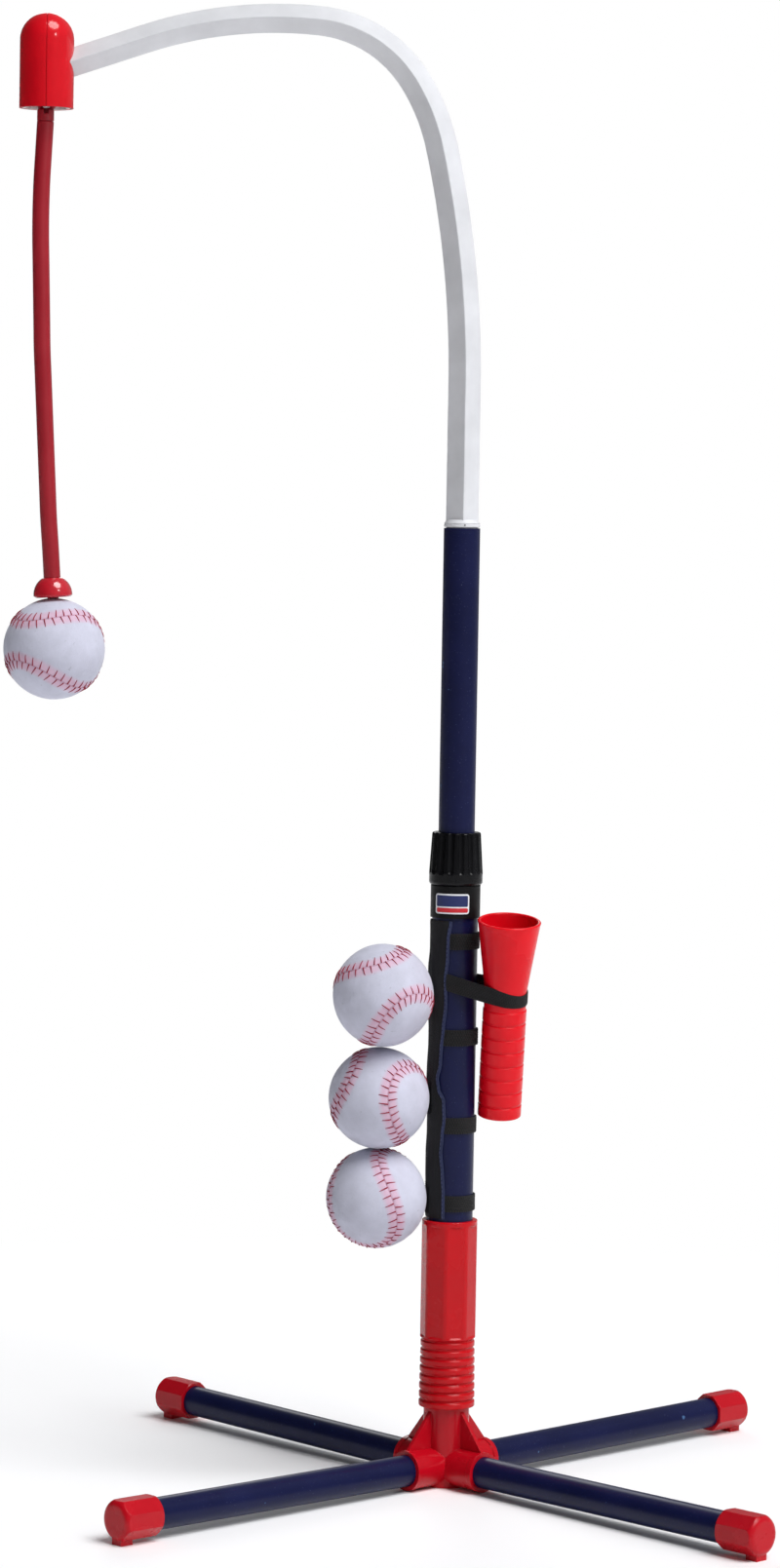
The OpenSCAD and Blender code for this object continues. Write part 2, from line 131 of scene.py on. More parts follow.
class Tree:
    """A node tree with short calls to add and link nodes."""

    def __init__(self, tree):
        self.tree = tree
        tree.nodes.clear()

    def add(self, kind, settings=None, **inputs):
        made = self.tree.nodes.new(kind)
        for key, value in (settings or {}).items():
            setattr(made, key, value)
        for key, value in inputs.items():
            self.put(made.inputs[key.replace("_", " ")], value)
        return made

    def put(self, socket, value):
        if isinstance(value, bpy.types.NodeSocket):
            self.tree.links.new(value, socket)
        elif value is not None:
            socket.default_value = value

    def link(self, a, b):
        self.tree.links.new(a, b)

    def math(self, operation, a, b=None):
        made = self.add("ShaderNodeMath", {"operation": operation})
        self.put(made.inputs[0], a)
        self.put(made.inputs[1], b)
        return made.outputs[0]

    def mix(self, factor, a, b):
        """Blends two colours."""
        made = self.add("ShaderNodeMix", {"data_type": "RGBA"})
        self.put(made.inputs["Factor"], factor)
        self.put(made.inputs[6], a)
        self.put(made.inputs[7], b)
        return made.outputs[2]

    def mix_shader(self, factor, a, b):
        made = self.add("ShaderNodeMixShader", Fac=factor)
        self.link(a.outputs[0], made.inputs[1])
        self.link(b.outputs[0], made.inputs[2])
        return made.outputs[0]

    def ramp(self, factor, low, high, a=0.0, b=1.0):
        """Takes factor from low..high to a..b."""
        made = self.add("ShaderNodeMapRange", {"clamp": True})
        self.put(made.inputs["Value"], factor)
        for key, value in (("From Min", low), ("From Max", high), ("To Min", a), ("To Max", b)):
            made.inputs[key].default_value = value
        return made.outputs[0]

    def noise(self, scale, detail=3.0, roughness=0.5, vector=None):
        made = self.add("ShaderNodeTexNoise", Scale=scale, Detail=detail, Roughness=roughness, Vector=vector)
        return made.outputs["Fac"]

    def bump(self, shader, height, strength, distance, normal=None):
        """Gives a shader relief from a height."""
        made = self.add("ShaderNodeBump", Strength=strength, Distance=distance, Normal=normal)
        self.link(height, made.inputs["Height"])
        self.link(made.outputs[0], shader.inputs["Normal"])


def rgb(r, g, b):
    """Linear colour, with alpha, from an sRGB colour of 0 to 255."""
    def linear(c):
        c /= 255
        return c / 12.92 if c <= 0.04045 else ((c + 0.055) / 1.055) ** 2.4
    return (linear(r), linear(g), linear(b), 1)


def shade(color, k):
    """A colour made darker or lighter by a factor."""
    return tuple(min(c * k, 1) for c in color[:3]) + (1,)


def start_material(name):
    """A material with its node tree, its object coordinates and its shader."""
    made = bpy.data.materials.new(name)
    made.use_nodes = True
    t = Tree(made.node_tree)
    place = t.add("ShaderNodeTexCoord").outputs["Object"]
    shader = t.add("ShaderNodeBsdfPrincipled")
    t.link(shader.outputs[0], t.add("ShaderNodeOutputMaterial").inputs["Surface"])
    return made, t, place, shader


def edge_mask(t, radius):
    """1 on sharp edges and 0 on flat faces, and the rounded normal it comes from."""
    bevel = t.add("ShaderNodeBevel", {"samples": 4}, Radius=radius)
    flat = t.add("ShaderNodeNewGeometry").outputs["Normal"]
    dot = t.add("ShaderNodeVectorMath", {"operation": "DOT_PRODUCT"})
    t.link(bevel.outputs[0], dot.inputs[0])
    t.link(flat, dot.inputs[1])
    return t.ramp(dot.outputs["Value"], 0.99, 0.86), bevel.outputs[0]


def moulded(name, color, roughness=0.3, coat=0.0, grain=0.02, wear_and_edge_highlight=0.3, scuffs=0.12, shine=0.5):
    """Moulded plastic or rubber: rounded edges lightened in patches, partly as wear and partly as a painted
    edge highlight, faint flow marks, fine grain and scuffs.
    """
    made, t, place, shader = start_material(name)
    edge_wear_and_highlight_mask, rounded = edge_mask(t, 0.7 * MM)
    cloud = t.noise(28, 4, 0.55, place)
    streak_map = t.add("ShaderNodeMapping", Vector=place, Scale=(90, 90, 14))
    streak = t.noise(6, 5, 0.6, streak_map.outputs[0])
    body = t.mix(t.ramp(cloud, 0.3, 0.7), shade(color, 0.9), shade(color, 1.06))
    scratch = t.ramp(streak, 0.66, 0.72, 0, scuffs)
    body = t.mix(scratch, body, shade(color, 1.7))
    # Patchy lightening of sharp edges: partly worn plastic, partly a painted edge highlight.
    edge_wear_and_highlight = t.math("MULTIPLY", edge_wear_and_highlight_mask, t.ramp(t.noise(400, 4, 0.7, place), 0.42, 0.62, 0, wear_and_edge_highlight))
    t.put(shader.inputs["Base Color"], t.mix(edge_wear_and_highlight, body, shade(color, 1.9)))
    t.put(shader.inputs["Roughness"], t.ramp(t.math("ADD", cloud, scratch), 0.3, 0.9,
                                             roughness - 0.05, roughness + 0.14))
    t.bump(shader, t.noise(1500, 3, 0.6, place), grain, 0.2 * MM, rounded)
    shader.inputs["Specular IOR Level"].default_value = shine
    shader.inputs["Coat Weight"].default_value = coat
    shader.inputs["Coat Roughness"].default_value = 0.06
    return made


def coated_tube(name, color):
    """Satin paint on a steel tube: a blotchy tone, specks of dust and small chips."""
    made, t, place, shader = start_material(name)
    cloud = t.noise(18, 4, 0.6, place)
    speck = t.add("ShaderNodeTexVoronoi", {"feature": "DISTANCE_TO_EDGE"}, Scale=210, Vector=place)
    fine = t.noise(900, 2, 0.5, place)
    body = t.mix(t.ramp(cloud, 0.3, 0.72), shade(color, 0.8), shade(color, 1.2))
    dust = t.ramp(fine, 0.68, 0.76, 0, 0.22)
    body = t.mix(dust, body, rgb(120, 130, 170))
    chip = t.math("MULTIPLY", t.ramp(t.noise(120, 2, 0.5, place), 0.74, 0.77), 0.5)
    t.put(shader.inputs["Base Color"], t.mix(chip, body, rgb(90, 130, 180)))
    t.put(shader.inputs["Roughness"], t.ramp(cloud, 0.2, 0.8, 0.26, 0.42))
    t.bump(shader, t.math("ADD", fine, t.math("MULTIPLY", speck.outputs["Distance"], 2)), 0.05, 0.2 * MM)
    shader.inputs["Specular IOR Level"].default_value = 0.16
    shader.inputs["Coat Weight"].default_value = 0.06
    shader.inputs["Coat Roughness"].default_value = 0.12
    return made


def weave(t, across, along, pitch):
    """Height and colour factor of a plain weave of that pitch on the mesh's cloth map."""
    place = t.add("ShaderNodeUVMap", {"uv_map": "cloth"}).outputs[0]
    parts = t.add("ShaderNodeSeparateXYZ", Vector=place)
    u = t.math("MULTIPLY", parts.outputs["X"], TAU / (pitch * across))
    v = t.math("MULTIPLY", parts.outputs["Y"], TAU / (pitch * along))
    return t.math("ADD", t.math("MULTIPLY", t.math("SINE", u), t.math("SINE", v)), 1)


def cloth(name, color, pitch=0.9 * MM, across=1, along=1, relief=0.5, fuzz=0.04):
    """Woven cloth or webbing, with threads, lint and a soft sheen."""
    made, t, place, shader = start_material(name)
    threads = weave(t, across, along, pitch)
    cloud = t.noise(60, 4, 0.6, place)
    lint = t.ramp(t.noise(1400, 3, 0.7, place), 0.6, 0.75, 0, 0.35)
    body = t.mix(t.ramp(threads, 0, 2), shade(color, 0.55), shade(color, 1.35))
    body = t.mix(t.ramp(cloud, 0.35, 0.75, 0, 0.5), body, shade(color, 1.9))
    t.put(shader.inputs["Base Color"], t.mix(lint, body, shade(color, 3)))
    shader.inputs["Roughness"].default_value = 0.75
    t.bump(shader, threads, relief, 0.25 * MM)
    shader.inputs["Specular IOR Level"].default_value = 0.2
    shader.inputs["Sheen Weight"].default_value = fuzz
    shader.inputs["Sheen Roughness"].default_value = 0.5
    return made


def brushed_cloth(name, color):
    """Soft brushed cover of the balls: short nap, faint blotches, specks, thread dye by the seam, and
    painted shade in the seam groove.
    """
    made, t, place, shader = start_material(name)
    blotch = t.noise(70, 5, 0.6, place)
    nap = t.noise(1700, 3, 0.7, place)
    speck = t.ramp(t.noise(330, 2, 0.5, place), 0.7, 0.75, 0, 0.5)
    body = t.mix(t.ramp(blotch, 0.3, 0.72), shade(color, 0.88), shade(color, 1.06))
    body = t.mix(speck, body, shade(color, 0.6))
    body = t.mix(t.ramp(nap, 0.3, 0.7, 0, 0.3), body, shade(color, 1.12))
    away = t.add("ShaderNodeAttribute", {"attribute_name": "seam"}).outputs["Fac"]
    dye = t.ramp(t.math("ADD", away, t.math("MULTIPLY", blotch, 3)), 5.5, 9, 0.42, 0)
    body = t.mix(dye, body, rgb(226, 150, 180))
    # Painted shade: dark red colour within a millimetre of the seam, where the groove is shaded.
    seam_groove_shade = t.ramp(away, 0.2, 0.9, 0.55, 0)
    t.put(shader.inputs["Base Color"], t.mix(seam_groove_shade, body, rgb(150, 60, 90)))
    shader.inputs["Roughness"].default_value = 0.92
    shader.inputs["Specular IOR Level"].default_value = 0.2
    t.bump(shader, t.math("ADD", nap, t.math("MULTIPLY", blotch, 1.5)), 0.45, 0.4 * MM)
    shader.inputs["Sheen Weight"].default_value = 0.15
    shader.inputs["Sheen Roughness"].default_value = 0.4
    return made


def thread(name, color):
    """Twisted sewing thread."""
    made, t, place, shader = start_material(name)
    twist = t.add("ShaderNodeTexWave", {"bands_direction": "DIAGONAL"}, Scale=900, Vector=place)
    t.put(shader.inputs["Base Color"], t.mix(twist.outputs["Fac"], shade(color, 0.7), shade(color, 1.15)))
    shader.inputs["Roughness"].default_value = 0.6
    t.bump(shader, twist.outputs["Fac"], 0.4, 0.1 * MM)
    return made


def steel(name):
    """Plain steel with a fine grain."""
    made, t, place, shader = start_material(name)
    grain = t.noise(500, 4, 0.6, place)
    t.put(shader.inputs["Base Color"], t.mix(grain, rgb(150, 150, 155), rgb(190, 190, 195)))
    shader.inputs["Metallic"].default_value = 1
    t.put(shader.inputs["Roughness"], t.ramp(grain, 0.3, 0.7, 0.25, 0.4))
    return made


def floor_paint():
    """White floor that fades to plain white away from the object, so that no horizon shows."""
    made, t, place, shader = start_material("floor_paint")
    away = t.add("ShaderNodeVectorMath", {"operation": "LENGTH"})
    t.link(place, away.inputs[0])
    to_camera = t.add("ShaderNodeLightPath").outputs["Is Camera Ray"]
    fade = t.math("MULTIPLY", t.ramp(away.outputs["Value"], 0.35, 1.1), to_camera)
    plain = t.add("ShaderNodeEmission", Color=(1, 1, 1, 1), Strength=1.0)
    surface = shader.outputs[0].links[0].to_socket
    t.link(t.mix_shader(fade, shader, plain), surface)
    cloud = t.noise(3, 2, 0.5, place)
    t.put(shader.inputs["Base Color"], t.mix(cloud, (0.93, 0.93, 0.94, 1), (0.96, 0.96, 0.97, 1)))
    shader.inputs["Roughness"].default_value = 0.7
    return made


# ---------- mesh tools ----------

def mesh_object(name, points, faces, material, sharp=35):
    """An object from points and faces, smooth except at edges over sharp degrees."""
    mesh = bpy.data.meshes.new(name)
    mesh.from_pydata([tuple(p) for p in points], [], faces)
    mesh.polygons.foreach_set("use_smooth", [True] * len(mesh.polygons))
    mesh.set_sharp_from_angle(angle=math.radians(sharp))
    mesh.materials.append(material)
    made = bpy.data.objects.new(name, mesh)
    scene.collection.objects.link(made)
    weighted = made.modifiers.new("normals", "WEIGHTED_NORMAL")
    weighted.keep_sharp = True
    return made


def rings_object(name, rings, material, closed=False, folded=False, sharp=35, uv=None):
    """A skin through rings of points. closed joins the last ring to the first, otherwise both ends are
    filled: with one face, or for a folded ring with a row of faces between its two sides. uv is a
    function of (ring, corner) that gives the cloth map."""
    n, m = len(rings), len(rings[0])
    points = [p for ring in rings for p in ring]
    spans = n if closed else n - 1
    faces = [
        (i * m + k, i * m + (k + 1) % m, (i + 1) % n * m + (k + 1) % m, (i + 1) % n * m + k)
        for i in range(spans) for k in range(m)
    ]
    maps = [((i, k), (i, k + 1), (i + 1, k + 1), (i + 1, k)) for i in range(spans) for k in range(m)]
    ends = [tuple(range(m))]
    if folded:
        ends = [(k, k + 1, m - 2 - k, m - 1 - k) for k in range(m // 2 - 1)]
    for i in () if closed else (0, n - 1):
        for end in ends:
            end = end if i else end[::-1]
            faces.append(tuple(i * m + k for k in end))
            maps.append(tuple((i, k) for k in end))
    made = mesh_object(name, points, faces, material, sharp)
    if uv:
        layer = made.data.uv_layers.new(name="cloth")
        for face, corners in zip(made.data.polygons, maps):
            for loop, corner in zip(face.loop_indices, corners):
                layer.data[loop].uv = uv(*corner)
    return made


def tube_faces(first, spans, sides):
    """Faces of a small closed tube, whose rings of points start at index first."""
    faces = [(first + j * sides + m, first + j * sides + (m + 1) % sides,
              first + (j + 1) * sides + (m + 1) % sides, first + (j + 1) * sides + m)
             for j in range(spans) for m in range(sides)]
    last = first + spans * sides
    return faces + [tuple(range(first, first + sides))[::-1], tuple(range(last, last + sides))]


def lathe(name, outline, material, steps=96, bend=None, place=None, sharp=35):
    """Turns a closed outline of (radius, height) about Z. bend changes a radius at an angle and height."""
    rings = []
    for k in range(steps):
        a = TAU * k / steps
        ring = []
        for r, z in outline:
            s = bend(a, r, z) if bend else r
            ring.append(Vector((s * math.cos(a), s * math.sin(a), z)))
        rings.append([place @ p for p in ring] if place else ring)
    return rings_object(name, rings, material, closed=True, sharp=sharp)


def arc(cx, cz, r, a0, a1, n=8):
    """Points of a round corner, from angle a0 to a1 in degrees."""
    steps = [math.radians(a0 + (a1 - a0) * k / n) for k in range(n + 1)]
    return [(cx + r * math.cos(a), cz + r * math.sin(a)) for a in steps]


def fine_line(points, step):
    """Adds points along a line of (radius, height), so that no stretch is longer than step."""
    made = [points[0]]
    for a, b in zip(points, points[1:]):
        n = max(1, math.ceil(math.dist(a, b) / step))
        made += [tuple(p + (q - p) * k / n for p, q in zip(a, b)) for k in range(1, n + 1)]
    return made


def tangents(route):
    """Unit vectors along a route, one for each of its points."""
    ends = [route[0], *route, route[-1]]
    return [(b - a).normalized() for a, b in zip(ends, ends[2:])]


def smooth_route(points, step):
    """A Catmull-Rom curve through the points, as points about step apart."""
    ends = [points[0] * 2 - points[1], *points, points[-1] * 2 - points[-2]]
    out = []
    for a, b, c, d in zip(ends, ends[1:], ends[2:], ends[3:]):
        n = max(1, round((c - b).length / step))
        for k in range(n):
            t = k / n
            out.append(0.5 * (2 * b + (c - a) * t + (2 * a - 5 * b + 4 * c - d) * t ** 2
                              + (3 * b - a - 3 * c + d) * t ** 3))
    return [*out, points[-1]]


def sweep(name, route, outline, material, side, sharp=35, uv=None):
    """Sweeps an outline along a route. outline(i) gives (across, out) pairs, where across lies along
    side(i), and out is square to it and to the route."""
    rings = []
    for i, (p, t) in enumerate(zip(route, tangents(route))):
        s = side(i)
        s = (s - t * s.dot(t)).normalized()
        o = t.cross(s)
        rings.append([p + s * a + o * b for a, b in outline(i)])
    return rings_object(name, rings, material, sharp=sharp, uv=uv)


def ellipse(a, b, n):
    """n points of an ellipse with the half axes a and b."""
    return [(a * math.cos(TAU * k / n), b * math.sin(TAU * k / n)) for k in range(n)]


def rounded_square(side, r):
    """Points of a square with its corners rounded by r."""
    c = side / 2 - r
    out = []
    for cx, cy, a in ((c, c, 0), (-c, c, 90), (-c, -c, 180), (c, -c, 270)):
        out += arc(cx, cy, r, a, a + 90, 3)
    return out


def paint(material, *names):
    """Gives CAD nodes a material."""
    for name in names:
        if not nodes[name].material_slots:
            nodes[name].data.materials.append(material)
        for slot in nodes[name].material_slots:
            slot.material = material


def centre_of(name):
    low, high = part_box(name)
    return (Vector(low) + Vector(high)) / 2


BALL_CENTRES = {name: centre_of(f"{name}_core") for name in BALL_BODIES}


# ---------- materials ----------

add_camera()
add_studio()

moulded_red = moulded("moulded_red", rgb(180, 8, 26), 0.25, coat=0.1, scuffs=0.06, shine=0.18)
sleeve_red = moulded("sleeve_red", rgb(186, 6, 18), 0.24, coat=0.08, grain=0.04, scuffs=0.05, shine=0.18)
dome_red = moulded("dome_red", rgb(210, 8, 26), 0.14, coat=0.3, grain=0.008, scuffs=0.03, shine=0.25)
tether_red = moulded("tether_red", rgb(152, 8, 28), 0.32, coat=0.1, grain=0.06)
topper_red = moulded("topper_red", rgb(226, 8, 26), 0.24, coat=0.08, grain=0.03, scuffs=0.05, shine=0.18)
navy_paint = coated_tube("navy_paint", rgb(14, 19, 58))
knob_black = moulded("knob_black", rgb(8, 8, 11), 0.24, coat=0.06, wear_and_edge_highlight=0.1, scuffs=0.02, shine=0.18)
band_black = moulded("band_black", rgb(9, 9, 11), 0.4, wear_and_edge_highlight=0.1, scuffs=0.02, shine=0.18)
arm_white = moulded("arm_white", rgb(217, 218, 222), 0.38, grain=0.02, wear_and_edge_highlight=0.0, scuffs=0.03, shine=0.3)
inner_white = moulded("inner_white", rgb(226, 214, 212), 0.45)
ball_cloth = brushed_cloth("ball_cloth", rgb(197, 198, 214))
ball_thread = thread("ball_thread", rgb(150, 6, 42))
holder_cloth = cloth("holder_cloth", rgb(21, 21, 24), relief=0.6, fuzz=0.08)
piping_cloth = cloth("piping_cloth", rgb(40, 46, 74), pitch=0.7 * MM)
elastic_cloth = cloth("elastic_cloth", rgb(27, 27, 28), pitch=1.1 * MM, across=1.6, along=0.8,
                      relief=0.9, fuzz=0.06)
hook_cloth = cloth("hook_cloth", rgb(10, 10, 12), pitch=0.8 * MM, relief=1)
pin_steel = steel("pin_steel")
badge_white = moulded("badge_white", rgb(236, 238, 242), 0.35, wear_and_edge_highlight=0)
badge_navy = moulded("badge_navy", rgb(24, 36, 92), 0.35, wear_and_edge_highlight=0)
badge_red = moulded("badge_red", rgb(200, 30, 42), 0.35, wear_and_edge_highlight=0)
bell_red = moulded("bell_red", rgb(188, 20, 38), 0.18, coat=0.6, grain=0.02)
navy_thread = thread("navy_thread", rgb(66, 74, 108))
black_thread = thread("black_thread", rgb(20, 20, 22))

paint(moulded_red, "base_hub", *[f"leg_cap_{i}" for i in range(1, 5)])
paint(navy_paint, "lower_tube", "upper_tube", *[f"leg_{i}" for i in range(1, 5)])
paint(sleeve_red, "base_sleeve")
paint(band_black, "collar_band")
paint(knob_black, "twist_collar")
paint(inner_white, "clamp_collet", "upper_bushing", "dome_ring")
paint(arm_white, "arm", "arm_plug")
paint(dome_red, "dome_post_half", "dome_outer_half")
paint(pin_steel, "swing_pin")
paint(tether_red, "tether_eye", "tether", "tether_bell", "ball_stem")
for name in BALL_BODIES:
    paint(ball_cloth, f"{name}_cover", f"{name}_core")
paint(holder_cloth, "holder_strip")
paint(piping_cloth, "holder_piping")
paint(hook_cloth, "hook_patches")
paint(elastic_cloth, "topper_loop", *[f"elastic_band_{i}" for i in range(1, 5)])
paint(badge_white, "collar_badge")
paint(topper_red, "tee_topper")


# ---------- the moulded post pieces ----------

def add_sleeve():
    """Base sleeve: eight rounded rings under eight flat panels with narrow ribs between them."""
    low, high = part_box("base_sleeve")
    r, z0, top = 20 * MM, low[2], high[2]
    bore = LOWER_R + 0.05 * MM
    rings, pitch, groove_r = 8, 6.25 * MM, 18 * MM
    panel_r, panel_turn = 18.9 * MM, math.radians(-95.5)
    panel_z = (z0 + rings * pitch + 1 * MM, top - 3 * MM)
    outline = [(bore, z0)]
    for k in range(rings):
        ring_r, base = r - 0.4 * MM + (rings - 1 - k) * 0.1 * MM, z0 + k * pitch
        outline += arc(ring_r - 1.1 * MM, base + 1.2 * MM, 1.1 * MM, -80, 0, 5)
        outline += arc(ring_r - 1.1 * MM, base + 3.5 * MM, 1.1 * MM, 0, 80, 5)
        outline += arc(groove_r + 0.6 * MM, base + 5.4 * MM, 0.6 * MM, 120, 240, 5)
    outline += [(r - 0.5 * MM, z0 + rings * pitch), (r, panel_z[0] - 0.5 * MM)]
    outline += [(r, panel_z[0]), (r, panel_z[0] + 1.2 * MM), (r, panel_z[1] - 1.2 * MM), (r, panel_z[1])]
    outline += arc(r - 0.7 * MM, top - 0.7 * MM, 0.7 * MM, 0, 90, 4) + [(bore, top)]

    def panelled(a, radius, z):
        if radius < r - 0.01 * MM or not panel_z[0] <= z <= panel_z[1]:
            return radius
        turn = (a - panel_turn) % (TAU / 8) - TAU / 16
        flat = panel_r / math.cos(turn)
        share = min(1, (z - panel_z[0]) / (1.2 * MM), (panel_z[1] - z) / (1.2 * MM))
        return min(radius, radius + (flat - radius) * share)

    sleeve = lathe("sleeve", outline, sleeve_red, steps=192, bend=panelled, sharp=24)
    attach(sleeve, "base")
    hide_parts("base_sleeve")


def add_knob():
    """Twist collar with sixteen round-ended flutes above a plain band."""
    low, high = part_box("twist_collar")
    z0, top, r = low[2], high[2], 19.25 * MM
    wide_z, flute_r = z0 + 8.7 * MM, 2.7 * MM
    flute_z, flute_at = wide_z + 1.6 * MM, r + 1.4 * MM
    top_r = r - 2 * MM
    outside = arc(r - 2.2 * MM, z0 + 2.2 * MM, 2.2 * MM, -90, -10, 6)
    outside += [(r, wide_z), (top_r + 0.25 * MM, top - 1.6 * MM)]
    outside += arc(top_r - 1.1 * MM, top - 1.3 * MM, 1.3 * MM, 10, 90, 6)
    outline = [(15.25 * MM, z0)] + fine_line(outside, 0.7 * MM)
    outline += [(UPPER_R + 0.3 * MM, top), (UPPER_R + 0.3 * MM, top - 3 * MM), (15.25 * MM, top - 7 * MM)]

    def fluted(a, radius, z):
        turn = (a - math.radians(1)) % (TAU / 16) - TAU / 32
        below = max(0, flute_z - z)
        lean = flute_at - 2 * MM * max(0, z - flute_z) / (top - flute_z)
        across = 2 * lean * math.sin(turn / 2)
        room = flute_r ** 2 - across ** 2 - below ** 2
        if radius < UPPER_R + 2.5 * MM or room <= 0:
            return radius
        return min(radius, lean - math.sqrt(room))

    knob = lathe("knob_cap", outline, knob_black, steps=320, bend=fluted, sharp=40)
    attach(knob, "knob")
    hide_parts("twist_collar")


def curved_plate(name, material, azimuth, z, half_angle, height, corner, r_in, r_out):
    """A plate with rounded corners, bent round the post."""
    rows, steps = 24, 28
    half = height / 2
    wide = math.radians(half_angle)
    rings = []
    for i in range(rows + 1):
        v = -math.cos(math.pi * i / rows) * half
        past = max(0, abs(v) - (half - corner))
        cut = (corner - math.sqrt(max(0, corner ** 2 - past ** 2))) / r_out
        reach = max(wide - cut, 0.2 * wide)
        side = [azimuth + math.degrees(reach) * (2 * k / steps - 1) for k in range(steps + 1)]
        rings.append([polar(r_out, a, z + v) for a in side] + [polar(r_in, a, z + v) for a in side[::-1]])
    return rings_object(name, rings, material)


def add_badge():
    """Generic badge: a white plate with a plain navy field over a red bar."""
    low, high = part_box("collar_badge")
    z, azimuth, r = (low[2] + high[2]) / 2 + 0.2 * MM, 262.5, 17.86 * MM
    height, half_angle, border = 14.4 * MM, 41.5, 1.1 * MM
    field, bar = 8 * MM, 3.2 * MM
    inner = half_angle - math.degrees(border / r)
    field_z, bar_z = z + height / 2 - border - field / 2, z - height / 2 + border + bar / 2
    print_r = (r + 0.3 * MM, r + 0.47 * MM)
    plate = curved_plate("badge_plate", badge_white, azimuth, z, half_angle, height, 2 * MM, r, r + 0.4 * MM)
    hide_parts("collar_badge")
    marks = [
        curved_plate("badge_field", badge_navy, azimuth, field_z, inner, field, 1 * MM, *print_r),
        curved_plate("badge_bar", badge_red, azimuth, bar_z, inner, bar, 1 * MM, *print_r),
    ]
    for part in (plate, *marks):
        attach(part, "base")


# ---------- arm, tether and bell ----------

ARM_TURN = Matrix.Rotation(math.radians(185), 4, "Z")
ACROSS_ARM = ARM_TURN.to_3x3() @ Vector((0, 1, 0))


def in_arm(u, z):
    """Point at a reach from the post's axis and a height, in the arm's plane."""
    return ARM_TURN @ Vector((u, 0, z))


def arm_route(start_z):
    """Centre line of the arm, as points and the share of the bend steps passed."""
    step, parts = 2.5, 4
    u, z, heading = 0.0, start_z, 0.0
    route = [(u, z, 0.0)]
    done = 0

    def straight(length):
        nonlocal u, z
        u += length * math.sin(math.radians(heading))
        z += length * math.cos(math.radians(heading))

    straight(96 * MM)
    done += 1
    route.append((u, z, done))
    for radius, turn in ((750 * MM, 13), (145 * MM, 20), (90 * MM, 52), (300 * MM, 24)):
        steps = math.ceil(turn / step)
        u0, z0, h0 = u, z, math.radians(heading)
        for k in range(1, steps * parts + 1):
            h = h0 + math.radians(turn) * k / (steps * parts)
            u = u0 + radius * (math.cos(h0) - math.cos(h))
            z = z0 + radius * (math.sin(h) - math.sin(h0))
            route.append((u, z, done + k / parts))
        heading += turn
        done += steps
    straight(67 * MM)
    route.append((u, z, done + 1))
    return [(in_arm(a, b), c / (done + 1)) for a, b, c in route]


def add_arm():
    """Square arm on edge, tapering towards the dome, on a round foot with two lips."""
    foot_z = 697.8 * MM
    route = arm_route(foot_z)
    wide, tip, corner = 23.3 * MM, 20 * MM, 0.8 * MM

    def outline(i):
        diagonal = wide + (tip - wide) * route[i][1] + 2 * corner * (math.sqrt(2) - 1)
        side = diagonal / math.sqrt(2)
        return [((a - b) / math.sqrt(2), (a + b) / math.sqrt(2)) for a, b in rounded_square(side, corner)]

    arm = sweep("arm_bar", [p for p, _ in route], outline, arm_white, lambda i: ACROSS_ARM, sharp=15)
    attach(arm, "arm")
    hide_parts("arm")

    low = 692.7 * MM
    r, bore = UPPER_R - 0.1 * MM, UPPER_R - 1.6 * MM
    foot = [(1 * MM, low - 62 * MM), (bore - 1.5 * MM, low - 62 * MM), (bore, low - 59 * MM), (bore, low)]
    foot += arc(r - 0.6 * MM, low + 0.6 * MM, 0.6 * MM, -90, 0, 4) + [(r, low + 1.5 * MM)]
    foot += arc(r + 0.2 * MM, low + 2.2 * MM, 0.5 * MM, 240, 120, 4)
    foot += [(r, low + 2.9 * MM), (r - 0.4 * MM, low + 3.2 * MM), (11.5 * MM, foot_z - 0.3 * MM)]
    foot += [(10.9 * MM, foot_z + 0.35 * MM), (1 * MM, foot_z + 0.35 * MM)]
    plug = lathe("arm_foot", foot, arm_white, steps=96, sharp=28)
    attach(plug, "arm")
    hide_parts("arm_plug")
    vent_azimuth, vent_in, vent_out = 280, 0.1 * MM, 0.55 * MM
    place = (Matrix.Translation(polar(r - 0.5 * MM, vent_azimuth, low + 1.5 * MM))
             @ direction(vent_azimuth).to_track_quat("Z", "Y").to_matrix().to_4x4())
    ring = [(vent_in, 0), (vent_out, 0), (vent_out, vent_out), (vent_in, vent_out)]
    vent = lathe("foot_vent", ring, knob_black, steps=16, place=place)
    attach(vent, "arm")


# Middle line of the tether as (reach from the post's axis, height) in mm
TETHER_ROUTE = [
    (300.5, 975), (301.5, 955), (302.5, 935), (303, 915), (303, 895), (302.5, 875),
    (302, 855), (301.5, 835), (301, 815), (300, 795), (299, 775), (298, 755),
    (297, 735), (296, 715), (295, 695), (293.5, 675), (292.5, 660), (292, 652),
]


def add_bell():
    """Flared rubber skirt between the tether and the ball."""
    r, length, bore = 13.8 * MM, 13.8 * MM, 3 * MM
    outline = [(bore, -0.01 * MM), (5.5 * MM, -0.01 * MM)]
    outline += arc(0, -12 * MM, r, 60, 2, 14)
    outline += arc(r - 0.35 * MM, -12.6 * MM, 0.35 * MM, 0, -70, 4)
    outline += [(r - 1.2 * MM, -length), (bore, -length)]
    u, z = TETHER_ROUTE[-1]
    tilt = math.radians(3.6)
    place = Matrix.Translation(in_arm(u * MM, z * MM)) @ ARM_TURN @ Matrix.Rotation(tilt, 4, "Y")
    bell = lathe("bell", outline, bell_red, steps=80, place=place, sharp=50)
    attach(bell, "hanger")
    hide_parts("tether_bell")
    return bell


